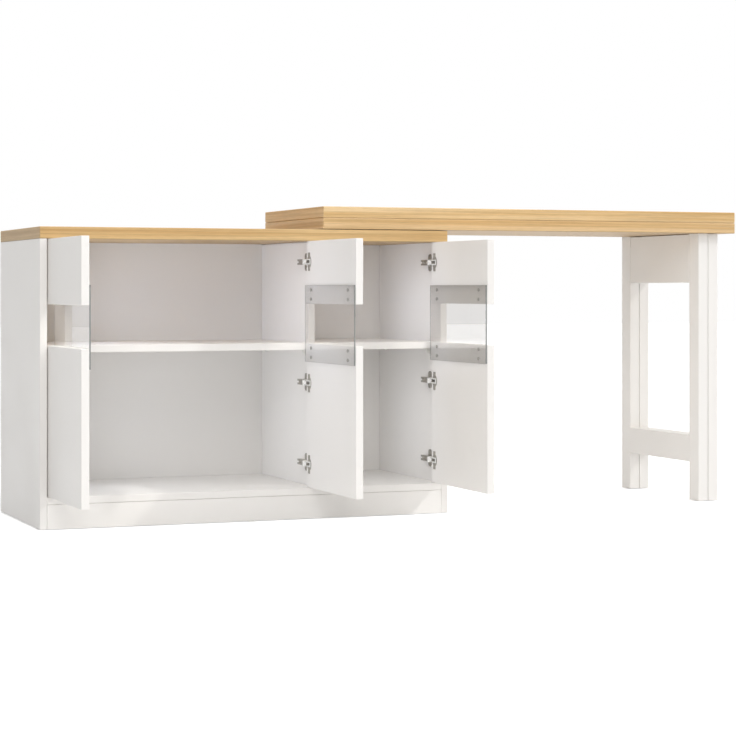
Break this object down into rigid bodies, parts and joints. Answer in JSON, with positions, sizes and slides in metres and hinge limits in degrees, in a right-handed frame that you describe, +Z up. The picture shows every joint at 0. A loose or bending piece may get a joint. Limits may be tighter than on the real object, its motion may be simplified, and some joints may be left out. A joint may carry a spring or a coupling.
{
  "type": "kitchen table with storage cabinet",
  "caption": "Kitchen table on a storage cabinet: white cabinet with panelled doors and clear panes, wooden worktop, and a sliding table with a folding upper leaf on paired leg frames.",
  "frame": {"origin": "on the floor, under the centre of the bounding box with the doors open and the table pulled out", "axes": "+X along the length, from the cabinet to the table's legs; +Y from the doors to the back; +Z up"},
  "size_m": [2.17, 0.8828, 0.888],
  "materials": {
    "white_board": "satin white lacquer on fibreboard",
    "white_hardboard": "white faced hardboard, matt",
    "wood_top": "light oak, fine straight grain, matt oil",
    "clear_glass": "clear toughened glass, ground edges",
    "nickel_plate": "nickel plated, satin",
    "zinc_steel": "zinc plated",
    "rail_aluminium": "anodised, satin",
    "nylon": "natural nylon, moulded",
    "grey_felt": "pressed wool felt"
  },
  "bodies": {
    "cabinet": {"left_side_panel": "white_board", "right_side_panel": "white_board", "partition_panel": "white_board", "bottom_panel": "white_board", "front_toe_board": "white_board", "rear_toe_board": "white_board", "back_panel": "white_hardboard", "worktop": "wood_top", "left_shelf": "white_board", "right_shelf": "white_board", "shelf_supports": "nylon", "cabinet_glides": "nylon", "slide_rail": "rail_aluminium", "left_door_hinge_arms": "nickel_plate", "left_door_hinge_plates": "nickel_plate", "middle_door_hinge_arms": "nickel_plate", "middle_door_hinge_plates": "nickel_plate", "right_door_hinge_arms": "nickel_plate", "right_door_hinge_plates": "nickel_plate"},
    "table": {"lower_leaf": "wood_top", "slide_runner": "nylon", "felt_strips": "grey_felt", "fixed_frame_front_post": "white_board", "fixed_frame_rear_post": "white_board", "fixed_frame_apron": "white_board", "fixed_frame_stretcher": "white_board", "fixed_frame_glides": "nylon", "leaf_hinge_lower_plates": "zinc_steel", "gate_hinge_fixed_plates": "zinc_steel"},
    "folding_leaf": {"upper_leaf": "wood_top", "leaf_hinge_upper_plates": "zinc_steel"},
    "gate_leg": {"gate_frame_front_post": "white_board", "gate_frame_rear_post": "white_board", "gate_frame_apron": "white_board", "gate_frame_stretcher": "white_board", "gate_frame_glides": "nylon", "gate_hinge_swing_plates": "zinc_steel"},
    "left_door": {"left_door_upper_panel": "white_board", "left_door_lower_panel": "white_board", "left_door_glass_pane": "clear_glass", "left_door_hinge_cups": "nickel_plate"},
    "middle_door": {"middle_door_upper_panel": "white_board", "middle_door_lower_panel": "white_board", "middle_door_glass_pane": "clear_glass", "middle_door_hinge_cups": "nickel_plate"},
    "right_door": {"right_door_upper_panel": "white_board", "right_door_lower_panel": "white_board", "right_door_glass_pane": "clear_glass", "right_door_hinge_cups": "nickel_plate"}
  },
  "joints": [
    {"name": "left_door_hinge", "type": "hinge", "parent": "cabinet", "child": "left_door", "pos_m": [-1.0545, -0.06545, 0.386], "axis": [0, 0, -1], "range_deg": [-90, 10]},
    {"name": "middle_door_hinge", "type": "hinge", "parent": "cabinet", "child": "middle_door", "pos_m": [-0.2995, -0.06545, 0.386], "axis": [0, 0, 1], "range_deg": [-90, 10]},
    {"name": "right_door_hinge", "type": "hinge", "parent": "cabinet", "child": "right_door", "pos_m": [0.0875, -0.06545, 0.386], "axis": [0, 0, 1], "range_deg": [-90, 10]},
    {"name": "table_slide", "type": "slide", "parent": "cabinet", "child": "table", "axis": [-1, 0, 0], "range_m": [0, 0.817]},
    {"name": "leaf_fold", "type": "hinge", "parent": "table", "child": "folding_leaf", "pos_m": [0.4085, 0.43795, 0.85575], "axis": [-1, 0, 0], "range_deg": [0, 180]},
    {"name": "gate_leg_swing", "type": "hinge", "parent": "table", "child": "gate_leg", "pos_m": [1.002, 0.43595, 0.24], "axis": [0, 0, 1], "range_deg": [0, 180]}
  ]
}
